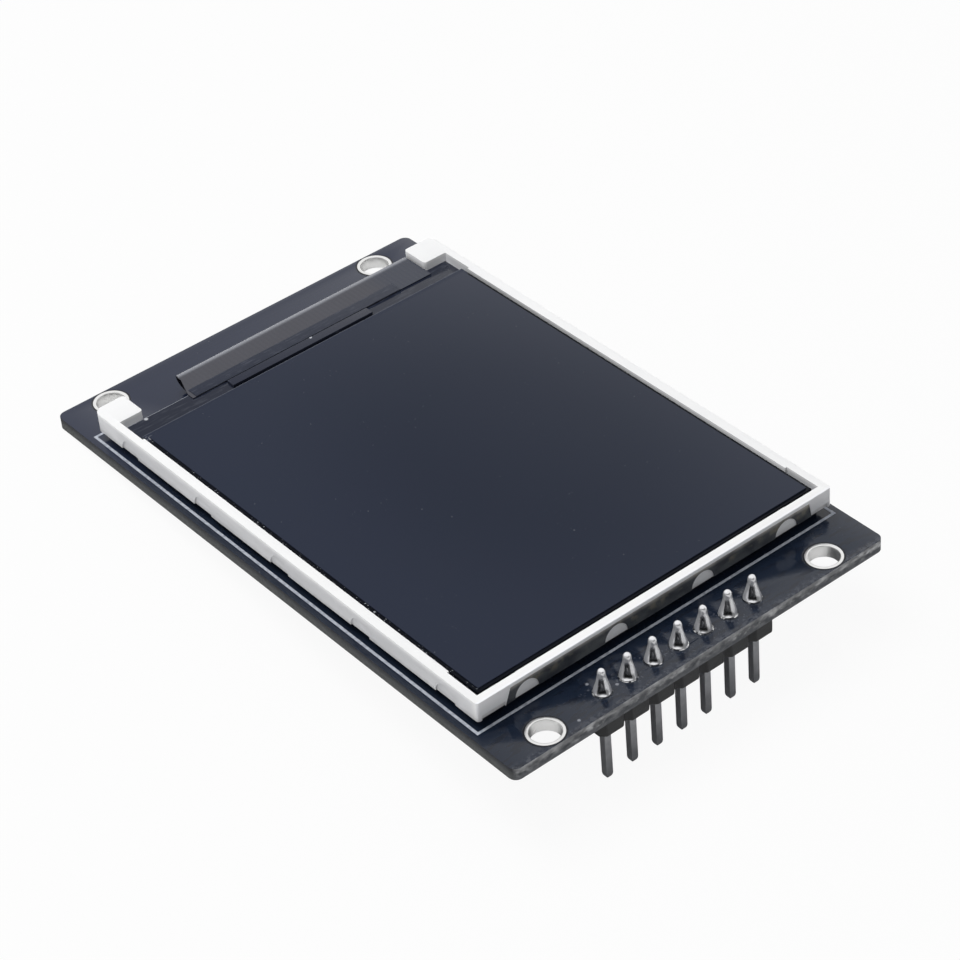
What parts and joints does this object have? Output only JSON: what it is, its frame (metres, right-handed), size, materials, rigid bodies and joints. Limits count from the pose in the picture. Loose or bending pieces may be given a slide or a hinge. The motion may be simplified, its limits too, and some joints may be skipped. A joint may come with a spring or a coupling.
{
  "type": "tft display module",
  "caption": "Small colour TFT screen in a white backlight frame, taped to a black circuit board with a row of header pins along one short edge.",
  "frame": {"origin": "centre of the four mounting holes, on the back face of the circuit board", "axes": "+Z out of the screen, +Y along the board away from the pin header, +X to the right of the screen"},
  "size_m": [0.0377, 0.06, 0.0113],
  "materials": {
    "solder_mask": "black satin solder mask with bare fibreglass edges",
    "tin_plating": "bright tinned copper",
    "white_print": "matt white ink",
    "header_plastic": "matt black",
    "contact_metal": "dull tinned metal",
    "solder": "bright solder",
    "black_foam": "black foam with adhesive",
    "white_frame": "white satin moulding",
    "reflector": "white mirror film",
    "clear_acrylic": "clear polished plate",
    "optical_film": "hazy film",
    "amber_film": "amber polyimide film",
    "black_tape": "matt black film tape",
    "panel_glass": "dark coated glass",
    "polarizer": "dark blue grey satin film",
    "chip_silicon": "polished dark silicon",
    "ribbon_film": "grey brown film",
    "lamp_body": "white case with yellow gel",
    "black_moulding": "matt black epoxy",
    "ceramic_part": "tan ceramic with tinned ends",
    "resistor_part": "black glaze with tinned ends"
  },
  "bodies": {
    "root": {"circuit_board": "solder_mask", "mounting_hole_plating": "tin_plating", "header_hole_plating": "tin_plating", "outline_print": "white_print", "header_body": "header_plastic", "foam_tape_left": "black_foam", "foam_tape_right": "black_foam", "foam_tape_end": "black_foam", "backlight_frame": "white_frame", "reflector_sheet": "reflector", "light_guide": "clear_acrylic", "diffuser_sheet": "optical_film", "lower_prism_sheet": "optical_film", "upper_prism_sheet": "optical_film", "lamp_strip": "amber_film", "rim_tape": "black_tape", "rear_polarizer": "polarizer", "lower_glass": "panel_glass", "upper_glass": "panel_glass", "front_polarizer": "polarizer", "driver_chip": "chip_silicon", "display_ribbon": "ribbon_film", "ribbon_pads": "tin_plating", "ledge_tape": "black_tape", "end_wall_tape": "black_tape", "back_pads": "tin_plating", "regulator_body": "black_moulding", "regulator_leads": "contact_metal", "transistor_body": "black_moulding", "transistor_leads": "contact_metal", "capacitor_1": "ceramic_part", "capacitor_2": "ceramic_part", "capacitor_3": "ceramic_part", "resistor_1": "resistor_part", "resistor_2": "resistor_part", "resistor_3": "resistor_part", "lamp_1": "lamp_body", "lamp_2": "lamp_body", "lamp_3": "lamp_body", "lamp_4": "lamp_body", "header_pin_1": "contact_metal", "header_pin_2": "contact_metal", "header_pin_3": "contact_metal", "header_pin_4": "contact_metal", "header_pin_5": "contact_metal", "header_pin_6": "contact_metal", "header_pin_7": "contact_metal", "solder_joint_1": "solder", "solder_joint_2": "solder", "solder_joint_3": "solder", "solder_joint_4": "solder", "solder_joint_5": "solder", "solder_joint_6": "solder", "solder_joint_7": "solder"}
  },
  "joints": []
}
